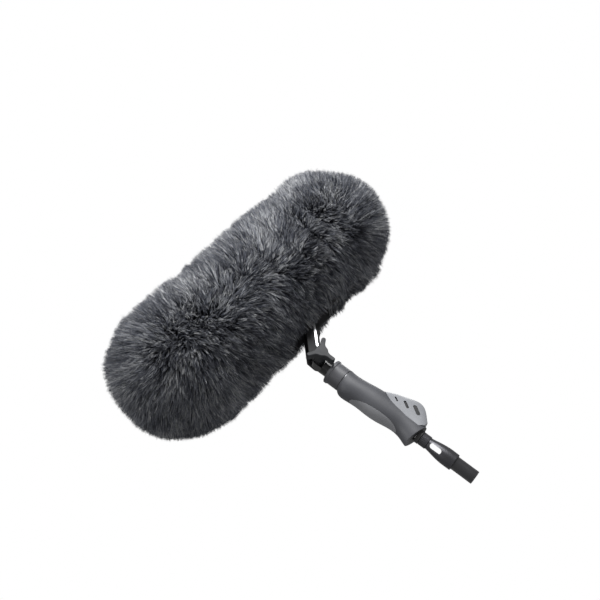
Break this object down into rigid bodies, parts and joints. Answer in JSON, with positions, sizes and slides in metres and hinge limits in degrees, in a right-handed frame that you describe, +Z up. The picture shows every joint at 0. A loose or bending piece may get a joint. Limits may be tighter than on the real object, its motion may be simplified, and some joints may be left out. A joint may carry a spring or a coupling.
{
  "type": "microphone windscreen",
  "caption": "Long-haired capsule windscreen over a basket, on a tilting fork with a star knob above a pistol grip and a pole tip.",
  "frame": {"origin": "centre of the pole tube's lower end, on the grip's axis", "axes": "+Z up the pole and grip, +X to the front of the windscreen, +Y to the side of the tilt knob"},
  "size_m": [0.455, 0.179, 0.4335],
  "materials": {
    "fur_pile": "long grey pile",
    "binding": "woven binding",
    "zip": "moulded teeth on tape",
    "yoke_black": "moulded black, satin",
    "knob_black": "moulded black, satin",
    "neck_black": "smooth black",
    "bright_metal": "satin",
    "steel": "zinc plated",
    "brass": "turned",
    "collar_grey": "fine texture",
    "grip_grey": "soft touch",
    "inlay_grey": "soft touch, lighter",
    "tail_grey": "pale, fine texture",
    "pad_dark": "matte",
    "core_black": "matte",
    "pole_black": "gloss coat over carbon",
    "tip_black": "anodised black",
    "basket_grey": "matte",
    "lyre_black": "flexible polyester"
  },
  "bodies": {
    "grip": {"pole_tube": "pole_black", "pole_tip": "tip_black", "pole_stud": "steel", "base_cap": "core_black", "grip_insert": "brass", "grip_core": "core_black", "neck_bush": "core_black", "grip_sleeve": "grip_grey", "grip_inlay": "inlay_grey", "grip_tail": "tail_grey", "tail_pads": "pad_dark", "collar_washer": "steel"},
    "lock_ring": {"pole_lock_ring": "tip_black"},
    "collar": {"lock_collar": "collar_grey"},
    "neck": {"neck": "neck_black"},
    "windscreen": {"friction_washers": "steel", "tilt_bolt": "steel", "yoke": "yoke_black", "yoke_strips": "bright_metal", "yoke_saddle": "yoke_black", "saddle_screws": "steel", "basket_tube": "basket_grey", "front_ring": "basket_grey", "rear_ring": "basket_grey", "chassis_rail": "core_black", "fur_front": "fur_pile", "fur_body": "fur_pile", "fur_rear": "fur_pile", "opening_binding": "binding", "zip_tape": "zip"},
    "knob": {"tilt_knob": "knob_black", "tilt_nut": "steel"},
    "front_end": {"front_cap": "basket_grey"},
    "rear_end": {"rear_cap": "basket_grey"},
    "front_mount": {"front_carriage": "core_black", "front_lyre": "lyre_black", "front_clip": "lyre_black", "front_screw": "steel"},
    "rear_mount": {"rear_carriage": "core_black", "rear_lyre": "lyre_black", "rear_clip": "lyre_black", "rear_screw": "steel"},
    "slider": {"zip_slider": "zip"}
  },
  "joints": [
    {"name": "windscreen_tilt", "type": "hinge", "parent": "neck", "child": "windscreen", "pos_m": [0, 0, 0.228], "axis": [0, 1, 0], "range_deg": [-70, 85]},
    {"name": "neck_swivel", "type": "hinge", "parent": "grip", "child": "neck", "pos_m": [0, 0, 0.18], "axis": [0, 0, 1], "range_deg": [-90, 90]},
    {"name": "collar_twist", "type": "hinge", "parent": "grip", "child": "collar", "pos_m": [0, 0, 0.198], "axis": [0, 0, 1], "range_deg": [0, 120]},
    {"name": "lock_ring_turn", "type": "hinge", "parent": "grip", "child": "lock_ring", "pos_m": [0, 0, 0.07], "axis": [0, 0, 1], "continuous": true},
    {"name": "knob_turn", "type": "hinge", "parent": "windscreen", "child": "knob", "pos_m": [0, 0, 0.228], "axis": [0, 1, 0], "range_deg": [0, 540]},
    {"name": "front_cap_twist", "type": "hinge", "parent": "windscreen", "child": "front_end", "pos_m": [0.1154, 0, 0.344], "axis": [1, 0, 0], "range_deg": [0, 25]},
    {"name": "rear_cap_twist", "type": "hinge", "parent": "windscreen", "child": "rear_end", "pos_m": [-0.1606, 0, 0.344], "axis": [1, 0, 0], "range_deg": [-25, 0]},
    {"name": "front_mount_slide", "type": "slide", "parent": "windscreen", "child": "front_mount", "axis": [1, 0, 0], "range_m": [-0.04, 0.02]},
    {"name": "rear_mount_slide", "type": "slide", "parent": "windscreen", "child": "rear_mount", "axis": [1, 0, 0], "range_m": [-0.02, 0]},
    {"name": "zip_slide", "type": "slide", "parent": "windscreen", "child": "slider", "axis": [1, 0, 0], "range_m": [-0.083, 0]}
  ]
}
